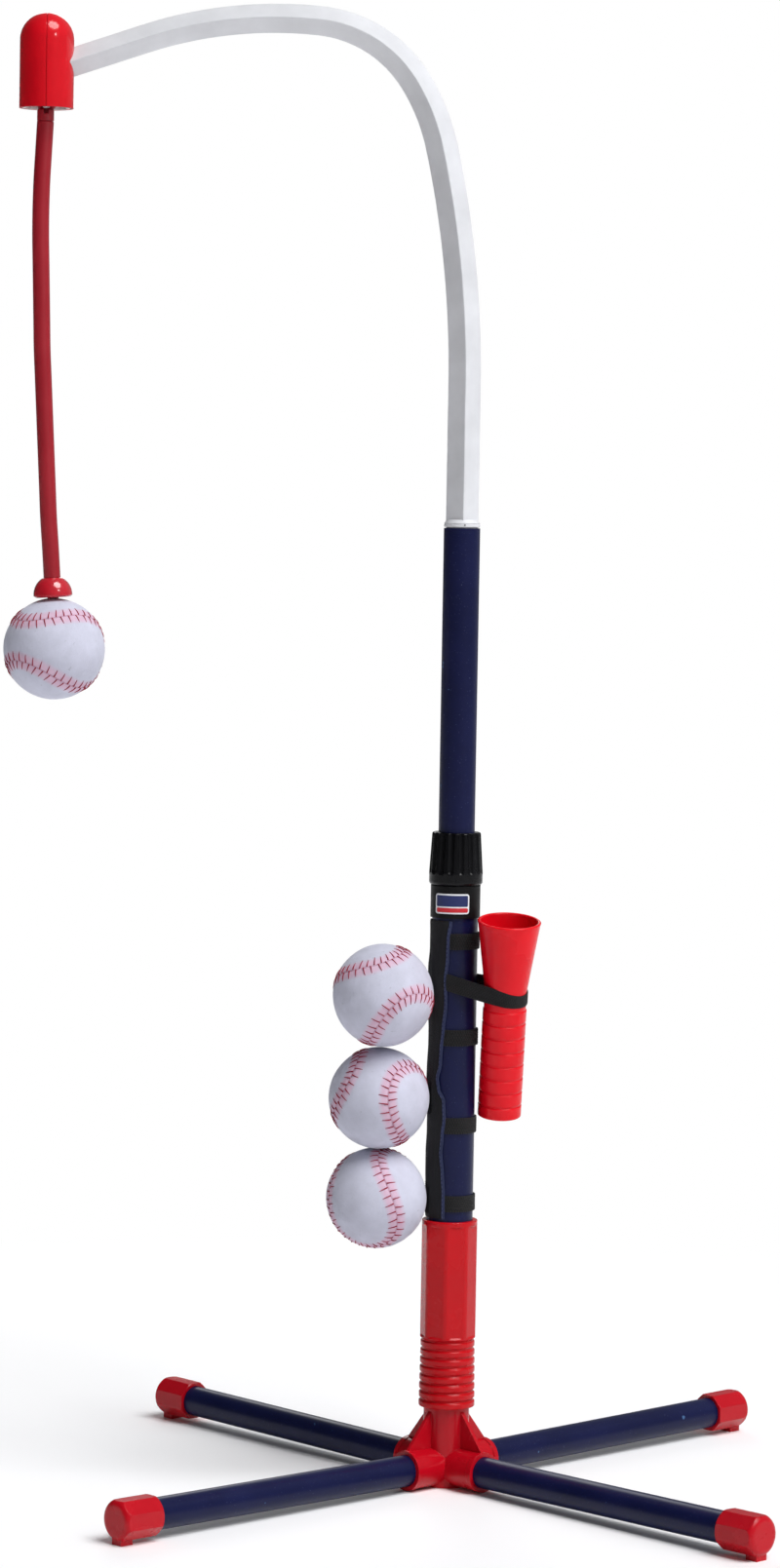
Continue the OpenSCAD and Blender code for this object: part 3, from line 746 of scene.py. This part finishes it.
def add_tether(bell):
    """Rubber tether as a swept tube along its route."""
    diameter = 12 * MM
    route = smooth_route([in_arm(u * MM, z * MM) for u, z in TETHER_ROUTE], 5 * MM)
    route = [route[0], route[0] + (route[1] - route[0]).normalized() * 0.8 * MM, *route[1:]]

    def outline(i):
        r = diameter / 2 - (0 if i else 0.6 * MM)
        return ellipse(r, r, 40)

    tether = sweep("tether_cord", route, outline, tether_red, lambda i: ACROSS_ARM)
    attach(tether, "hanger")
    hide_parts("tether")


# ---------- balls ----------

# Share of the seam curve that turns three times as fast, and how far each ball's seam is turned
SEAM_B = 0.3
SEAM_TURNS = {
    "tether_ball": (-105, -43, -33), "ball_1": (-141, -53, 69),
    "ball_2": (35, 44, -53), "ball_3": (167, 9, 110),
}


def seam_curve(turn):
    """Unit vectors along a ball's seam, turned by Euler angles in degrees."""
    a, b, count = 1 - SEAM_B, SEAM_B, 720
    spin = Euler([math.radians(v) for v in turn]).to_matrix()
    out = []
    for k in range(count):
        t = TAU * k / count
        p = Vector((a * math.cos(t) + b * math.cos(3 * t), a * math.sin(t) - b * math.sin(3 * t),
                    2 * math.sqrt(a * b) * math.sin(2 * t)))
        out.append(spin @ p.normalized())
    return out


# Height of each ball over its width, as the soft balls settle
BALL_STRETCH = {"tether_ball": 1.0, "ball_1": 1.02, "ball_2": 1.01, "ball_3": 1.0}


def stretched(name, centre, p):
    """A point of a ball after the ball has taken its height."""
    return Vector((p.x, p.y, centre.z + (p.z - centre.z) * BALL_STRETCH[name]))


def distance_to_seam(unit, line):
    """Distance over the ball from unit vectors to the seam."""
    near = np.concatenate([(part @ line.T).max(axis=1) for part in np.array_split(unit, 24)])
    return np.arccos(np.clip(near, -1, 1)) * BALL_R


def add_ball(name, body):
    centre = BALL_CENTRES[name]
    seam = seam_curve(SEAM_TURNS[name])
    add_ball_skin(name, body, centre, seam)
    add_stitches(name, body, centre, seam)


def add_ball_skin(name, body, centre, seam):
    """Cover of two cloth panels that pucker along their seam, as a shell over the foam."""
    form = bmesh.new()
    bmesh.ops.create_icosphere(form, subdivisions=6, radius=1)
    line = np.array([tuple(p) for p in seam])
    form.verts.ensure_lookup_table()
    unit = np.array([tuple(v.co) for v in form.verts])
    unit /= np.linalg.norm(unit, axis=1)[:, None]
    away = distance_to_seam(unit, line)
    groove = -0.45 * MM * np.exp(-(away / (0.7 * MM)) ** 2)
    pucker = 0.12 * MM * np.exp(-((away - 2.6 * MM) / (1.8 * MM)) ** 2)
    seed = Vector((3, 1, 2)) * len(body)
    soft = np.array([noise.noise(Vector(p) * 2.2 + seed) for p in unit]) * 0.22 * MM
    radius = BALL_R - 0.1 * MM + groove + pucker + soft
    points = unit * radius[:, None] + np.array(tuple(centre))
    for vert, p in zip(form.verts, points):
        vert.co = stretched(name, centre, Vector(p))
    made = bpy.data.meshes.new(f"{name}_skin")
    form.to_mesh(made)
    form.clear()
    bmesh.ops.create_icosphere(form, subdivisions=4, radius=BALL_R - 1.3 * MM)
    bmesh.ops.translate(form, verts=form.verts, vec=centre)
    bmesh.ops.reverse_faces(form, faces=form.faces)
    form.from_mesh(made)
    form.to_mesh(made)
    form.free()
    made.polygons.foreach_set("use_smooth", [True] * len(made.polygons))
    spots = np.empty(len(made.vertices) * 3)
    made.vertices.foreach_get("co", spots)
    spots = spots.reshape(-1, 3) - np.array(tuple(centre))
    spots /= np.linalg.norm(spots, axis=1)[:, None]
    seam_layer = made.attributes.new("seam", "FLOAT", "POINT")
    seam_layer.data.foreach_set("value", distance_to_seam(spots, line) / MM)
    made.materials.append(ball_cloth)
    skin = bpy.data.objects.new(f"{name}_skin", made)
    scene.collection.objects.link(skin)
    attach(skin, body)
    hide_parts(f"{name}_cover")


def add_stitches(name, body, centre, seam):
    """Two rows of thread stitches, square to the seam and offset by half a stitch."""
    pitch, start, reach, sides, rings = 5.8 * MM, 0.3 * MM, 6.8 * MM, 6, 8
    length = sum((b - a).length for a, b in zip(seam, seam[1:] + seam[:1])) * BALL_R
    count = round(length / pitch)
    points, faces = [], []
    dice = random.Random(name)
    for side in (-1, 1):
        for k in range(count):
            at = (k + 0.25 * side) / count * len(seam)
            p = seam[int(at) % len(seam)].lerp(seam[(int(at) + 1) % len(seam)], at % 1).normalized()
            ahead = (seam[(int(at) + 3) % len(seam)] - seam[(int(at) - 3) % len(seam)]).normalized()
            out = p.cross(ahead).normalized() * side
            lean = math.radians(8 + dice.uniform(-6, 6))
            out = out * math.cos(lean) + ahead * math.sin(lean)
            stop = reach * dice.uniform(0.88, 1.06)
            first = len(points)
            for j in range(rings + 1):
                s = j / rings
                turn = (start + (stop - start) * s) / BALL_R
                radial = p * math.cos(turn) + out * math.sin(turn)
                along = out * math.cos(turn) - p * math.sin(turn)
                wide = along.cross(radial)
                thick = (0.48 - 0.24 * s) * MM
                lift = BALL_R - 0.2 * MM + 0.4 * MM * math.sin(math.pi * min(1, s + 0.12)) ** 0.5
                points += [centre + radial * (lift + b) + wide * a for a, b in ellipse(thick, thick, sides)]
            faces += tube_faces(first, rings, sides)
    points = [stretched(name, centre, p) for p in points]
    stitches = mesh_object(f"{name}_stitches", points, faces, ball_thread, sharp=60)
    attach(stitches, body)


# ---------- fabric holder ----------

HOLDER_AZIMUTH = 194
STRIP_Z = (196 * MM, 411 * MM)
BAND_HEIGHTS = [396.3 * MM, 327 * MM, 263.5 * MM, 207 * MM]
# Usual direction of the strip's front edge, which its rear edge mirrors
FRONT_AZIMUTH = 251
# Direction of the strip's front edge at heights down the post in mm, in degrees from +X
FRONT_EDGE = [
    (411, 261), (398, 255.5), (384, 254.5), (368, 250), (352, 252.5), (333, 247), (318, 242.5),
    (308, 240.5), (297, 233), (290, 237), (281, 251), (268, 253), (256, 249), (244, 246), (228, 251),
    (214, 254), (196, 254.5),
]


def ease(t):
    """Smooth step from 0 to 1."""
    t = min(max(t, 0), 1)
    return t * t * (3 - 2 * t)


def front_edge(z):
    """Azimuth of the strip's front edge at a height."""
    for (z1, a1), (z0, a0) in zip(FRONT_EDGE, FRONT_EDGE[1:]):
        if z >= z0 * MM:
            return a0 + (a1 - a0) * ease((z / MM - z0) / (z1 - z0))
    return FRONT_EDGE[-1][1]


def back_edge(z):
    """Azimuth of the strip's rear edge at a height."""
    return 2 * HOLDER_AZIMUTH - FRONT_AZIMUTH + 4 * noise.noise(Vector((7, 3, z / (26 * MM))))


def ball_room(azimuth, z):
    """Greatest radius at a direction and height that stays clear of the stored balls."""
    room, gap = 1.0, 0.35 * MM
    d = direction(azimuth)
    for i in (1, 2, 3):
        c = BALL_CENTRES[f"ball_{i}"]
        off = Vector((c.x, c.y, 0)) - d * d.dot(c)
        left = (BALL_R + gap) ** 2 - off.length_squared - (c.z - z) ** 2
        if left > 0 and d.dot(c) > 0:
            room = min(room, d.dot(c) - math.sqrt(left))
    return room


def strip_swell(azimuth, z):
    """How far the strip stands off the post, between the bands and away from its edges."""
    nearest = min(abs(z - b) for b in BAND_HEIGHTS)
    free = ease((nearest - 5 * MM) / (16 * MM))
    edge = ease((front_edge(z) - azimuth) / 22) * ease((azimuth - back_edge(z)) / 22)
    fold = 0.5 + 0.5 * noise.noise(Vector((azimuth / 34, 2.5, z / (24 * MM))))
    seam_groove_shade = noise.noise(Vector((azimuth / 9, 9.5, z / (60 * MM))))
    return edge * free * (0.1 + 1.1 * fold) * MM + edge * (0.2 + 0.8 * free) * 0.35 * seam_groove_shade * MM


def strip_radius(azimuth, z):
    """Outer radius of the strip, kept clear of the balls."""
    wanted = LOWER_R + 1.25 * MM + max(0, strip_swell(azimuth, z))
    return max(LOWER_R + 1.15 * MM, min(wanted, ball_room(azimuth, z)))


def cloth_wrap(name, material, z_range, start, end, outer, thick, rows, steps):
    """A strip of cloth round the post between the azimuths start(z) and end(z), with soft edges."""
    rings = []
    low, high = z_range
    edge = 0.35 * MM
    for i in range(rows + 1):
        z = low + (high - low) * i / rows
        a0, a1 = start(z), end(z)
        side = [a0 + (a1 - a0) * k / steps for k in range(steps + 1)]
        top = min(1, 0.35 + min(i, rows - i) / 2)
        inset = [edge * top if k in (0, steps) else 0 for k in range(steps + 1)]
        outside = [polar(outer(a, z) - thick * (1 - top) * 0.5 - e, a, z) for a, e in zip(side, inset)]
        inside = [polar(outer(a, z) - thick * (0.5 + 0.5 * top) + e, a, z) for a, e in zip(side, inset)]
        rings.append(outside + inside[::-1])
    count = steps + 1
    width = math.radians(end(low) - start(low)) * LOWER_R

    def cloth_map(i, k):
        k %= 2 * count
        across = k if k < count else 2 * count - 1 - k
        return (width * across / steps, (high - low) * i / rows)

    return rings_object(name, rings, material, folded=True, sharp=50, uv=cloth_map)


def add_holder():
    """Webbing strip with bound edges, the bands that hold it, and the hook patches for the balls."""
    strip = cloth_wrap("holder_webbing", holder_cloth, STRIP_Z, back_edge, lambda z: front_edge(z) - 1.5,
                       strip_radius, 1.1 * MM, 170, 64)
    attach(strip, "base")
    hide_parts("holder_strip")
    for side, edge in (("front", front_edge), ("rear", back_edge)):
        add_piping(side, edge)
    for k, z in enumerate(BAND_HEIGHTS):
        add_elastic(k + 1, z)
    for i in (1, 2, 3):
        add_hook_patch(i)


def add_piping(side, edge):
    """Folded navy binding along an edge of the strip, with a row of stitches."""
    low, high = STRIP_Z
    steps = 150
    route = []
    for k in range(steps + 1):
        z = low + (high - low) * k / steps
        lift = 0.9 * MM + 0.35 * MM * noise.noise(Vector((4, 1, z / (15 * MM))))
        route.append(polar(LOWER_R + lift, edge(z), z))
    turns = [direction(edge(p.z) + 90) for p in route]
    outline = ellipse(1.35 * MM, 0.8 * MM, 16)
    binding = sweep(f"holder_binding_{side}", route, lambda i: outline, piping_cloth, lambda i: turns[i],
                    uv=lambda i, k: (k * 0.45 * MM, i * (high - low) / steps))
    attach(binding, "base")
    if side == "front":
        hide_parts("holder_piping")
    points, faces = [], []
    pitch, half, sides = 3.1 * MM, 1 * MM, 6
    inward = -1.2 if side == "front" else 1.2
    for k in range(int((high - low) / pitch)):
        middle = low + (k + 0.5) * pitch
        faces += tube_faces(len(points), 2, sides)
        for z, sink in ((middle - half, 0.25 * MM), (middle, 0), (middle + half, 0.25 * MM)):
            p = polar(LOWER_R + 1.85 * MM, edge(z) + inward, z)
            out, across = direction(edge(z)), direction(edge(z) + 90)
            points += [p + across * a + out * (b - sink) for a, b in ellipse(0.22 * MM, 0.16 * MM, sides)]
    row = mesh_object(f"binding_stitches_{side}", points, faces, navy_thread)
    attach(row, "base")


def add_elastic(k, z):
    """Ribbed elastic band from the strip's front edge round the post to its rear edge."""
    width, ribs = 11.6 * MM, 10
    low, high = z - width / 2, z + width / 2
    swell = Vector((k * 3.7, 1, 0))

    def outer(a, at):
        rib = 0.16 * MM * math.cos(TAU * ribs * (at - low) / width)
        wave = 0.25 * MM * noise.noise(swell + Vector((a / 20, 0, at / (9 * MM))))
        lift = 0.5 * MM * (1 - ease((a - front_edge(z)) / 14))
        return LOWER_R + 1.45 * MM + rib + wave - lift

    band = cloth_wrap(f"elastic_{k}", elastic_cloth, (low, high), lambda at: front_edge(z) - 1,
                      lambda at: 360 + back_edge(z) + 1, outer, 1.15 * MM, ribs * 6, 110)
    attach(band, "base")
    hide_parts(f"elastic_band_{k}")
    add_bar_tack(f"elastic_{k}_tack", z, front_edge(z) + 4, outer)


def add_bar_tack(name, z, azimuth, outer):
    """A close row of stitches that sews a band down."""
    points, faces = [], []
    sides = 6
    for m in range(7):
        at = z + (m - 3) * 1.6 * MM
        faces += tube_faces(len(points), 4, sides)
        for j in range(5):
            a = azimuth - 1.6 + 0.8 * j + (0.6 if m % 2 else 0)
            r = outer(a, at) + (0.12 * MM if 0 < j < 4 else -0.15 * MM)
            points += [polar(r, a, at) + direction(a) * y + UP * x
                       for x, y in ellipse(0.2 * MM, 0.16 * MM, sides)]
    tack = mesh_object(name, points, faces, black_thread)
    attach(tack, "base")


def add_hook_patch(i):
    """Patch of stiff hooks that a stored ball clings to."""
    centre = BALL_CENTRES[f"ball_{i}"]
    azimuth = math.degrees(math.atan2(centre.y, centre.x)) % 360
    r = LOWER_R + 1.25 * MM
    patch = curved_plate(f"hook_patch_{i}", hook_cloth, azimuth, centre.z, 18, 24 * MM, 2.5 * MM,
                         r - 0.2 * MM, r + 0.3 * MM)
    points, faces = [], []
    corners = ((-1, -1), (1, -1), (1, 1), (-1, 1))
    for row in range(15):
        for k in range(8):
            a = azimuth - 14.5 + 29 * (k + 0.5 * (row % 2)) / 7.5
            across, out = direction(a + 90), direction(a)
            base = polar(r + 0.2 * MM, a, centre.z - 10.5 * MM + 1.5 * MM * row)
            faces += tube_faces(len(points), 1, 4)
            for h, w in ((0, 0.3 * MM), (0.35 * MM, 0.16 * MM)):
                points += [base + out * h + across * (w * s) + UP * (w * t) for s, t in corners]
    hooks = mesh_object(f"hooks_{i}", points, faces, hook_cloth)
    for piece in (patch, hooks):
        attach(piece, "base")
    if i == 1:
        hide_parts("hook_patches")


# ---------- topper and its loop ----------

# Middle of the topper's lower end, its lean and the direction it leans, in degrees
TOPPER_AT = Vector((34.2 * MM, 4 * MM, 269.6 * MM))
TOPPER_LEAN = 10.1
TOPPER_AZIMUTH = -78.7
TOPPER_PLACE = (Matrix.Translation(TOPPER_AT) @ Matrix.Rotation(math.radians(TOPPER_AZIMUTH), 4, "Z")
                @ Matrix.Rotation(math.radians(TOPPER_LEAN), 4, "Y"))
TOPPER_AXIS = (TOPPER_PLACE.to_3x3() @ UP).normalized()


def add_topper():
    """Rubber tee topper: a grip of eight rings under a flared cup."""
    grip_r, neck_r, bore_r, rim_r = 15.75 * MM, 14.8 * MM, 13.1 * MM, 22.8 * MM
    length, grip, pitch, rings = 145.6 * MM, 84 * MM, 10.2 * MM, 8
    floor = grip + 14 * MM
    outline = [(bore_r, 0)] + arc(grip_r - 1 * MM, 1 * MM, 1 * MM, -90, 0, 4)
    for k in range(rings):
        z0, z1 = k * pitch, (k + 1) * pitch
        if k:
            outline += arc(grip_r - 0.5 * MM, z0 + 0.5 * MM, 0.5 * MM, -60, 0, 3)
        outline += arc(grip_r - 0.7 * MM, z1 - 2.1 * MM, 0.7 * MM, 0, 75, 4)
        outline += arc(grip_r - 0.45 * MM, z1 - 0.75 * MM, 0.5 * MM, 150, 240, 4)
    outline += [(neck_r + 0.5 * MM, grip + 0.4 * MM), (neck_r, grip + 1.5 * MM), (neck_r, grip + 5 * MM)]
    outline += arc(neck_r + 20 * MM, grip + 5 * MM, 20 * MM, 180, 172, 3)
    outline += [(rim_r - 0.6 * MM, length - 3 * MM)]
    outline += arc(rim_r - 1.2 * MM, length - 1.2 * MM, 1.2 * MM, 10, 170, 10)
    outline += [(bore_r + 1 * MM, floor + 5.5 * MM), (bore_r - 0.6 * MM, floor + 3.4 * MM)]
    outline += [(8 * MM, floor + 3 * MM), (8 * MM, floor), (bore_r, floor)]
    topper = lathe("topper", outline, topper_red, steps=128, place=TOPPER_PLACE, sharp=40)
    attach(topper, "topper")
    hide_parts("tee_topper")


def loop_stations():
    """Middle line of the elastic loop, from the strip's front edge round the topper to its rear edge,
    with the direction across its width."""
    post_r, topper_r = LOWER_R + 0.95 * MM, 15.9 * MM
    at = (356 * MM - TOPPER_AT.z) / TOPPER_AXIS.z
    hub = TOPPER_AT + TOPPER_AXIS * at
    line = []

    def around_post(azimuth, z):
        line.append((polar(post_r, azimuth, z), UP))

    def around_topper(azimuth, z):
        middle = hub + TOPPER_AXIS * ((z - hub.z) / TOPPER_AXIS.z)
        line.append((middle + direction(azimuth) * topper_r, TOPPER_AXIS))

    for azimuth, z in ((front_edge(367 * MM) - 2, 367.6), (253, 367.2), (255.6, 367)):
        around_post(azimuth, z * MM)
    for azimuth, z in ((-104.4, 357), (-85, 355.4), (-60, 354.4), (-35, 354.6), (-12, 356), (12, 357.8),
                       (38, 359.6), (62, 361.4), (74, 362.2)):
        around_topper(azimuth, z * MM)
    for azimuth, z in ((74, 366), (92, 366.6), (112, 367), (back_edge(367 * MM) + 1, 367)):
        around_post(azimuth, z * MM)
    return line


def add_topper_loop():
    """Wide elastic that holds the topper against the post."""
    line = loop_stations()
    route, sides = [], []
    for (a, sa), (b, sb) in zip(line, line[1:]):
        n = max(2, round((b - a).length / (1.2 * MM)))
        for k in range(n):
            route.append(a.lerp(b, k / n))
            sides.append(sa.lerp(sb, k / n))
    route.append(line[-1][0])
    sides.append(line[-1][1])
    # Round the corners of the line, but keep its ends
    for _ in range(6):
        route = [route[0], *[(a + b * 2 + c) / 4 for a, b, c in zip(route, route[1:], route[2:])], route[-1]]
    total = len(route) - 1
    width, thick, ribs = 12 * MM, 1.15 * MM, 11
    rows = ribs * 4

    def outline(i):
        # The strap is narrower near 0.42 of its length
        wide = width - 3.2 * MM * ease(1 - abs(i / total - 0.42) / 0.2)
        top, under = [], []
        for k in range(rows + 1):
            v = k / rows
            rib = 0.11 * MM * math.cos(TAU * ribs * v)
            thin = thick / 2 * min(1, 0.45 + min(k, rows - k) * 0.3)
            top.append(((v - 0.5) * wide, thin + rib))
            under.append(((v - 0.5) * wide, -thin + rib))
        return top + under[::-1]

    def cloth_map(i, k):
        k %= 2 * (rows + 1)
        return (i * 1.2 * MM, min(k, 2 * rows + 1 - k) * width / rows)

    loop = sweep("topper_strap", route, outline, elastic_cloth, lambda i: sides[i], sharp=60, uv=cloth_map)
    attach(loop, "base")
    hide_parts("topper_loop")


# ---------- the tee ----------

add_sleeve()
add_knob()
add_badge()
add_arm()
add_tether(add_bell())
for name, body in BALL_BODIES.items():
    add_ball(name, body)
add_holder()
add_topper()
add_topper_loop()
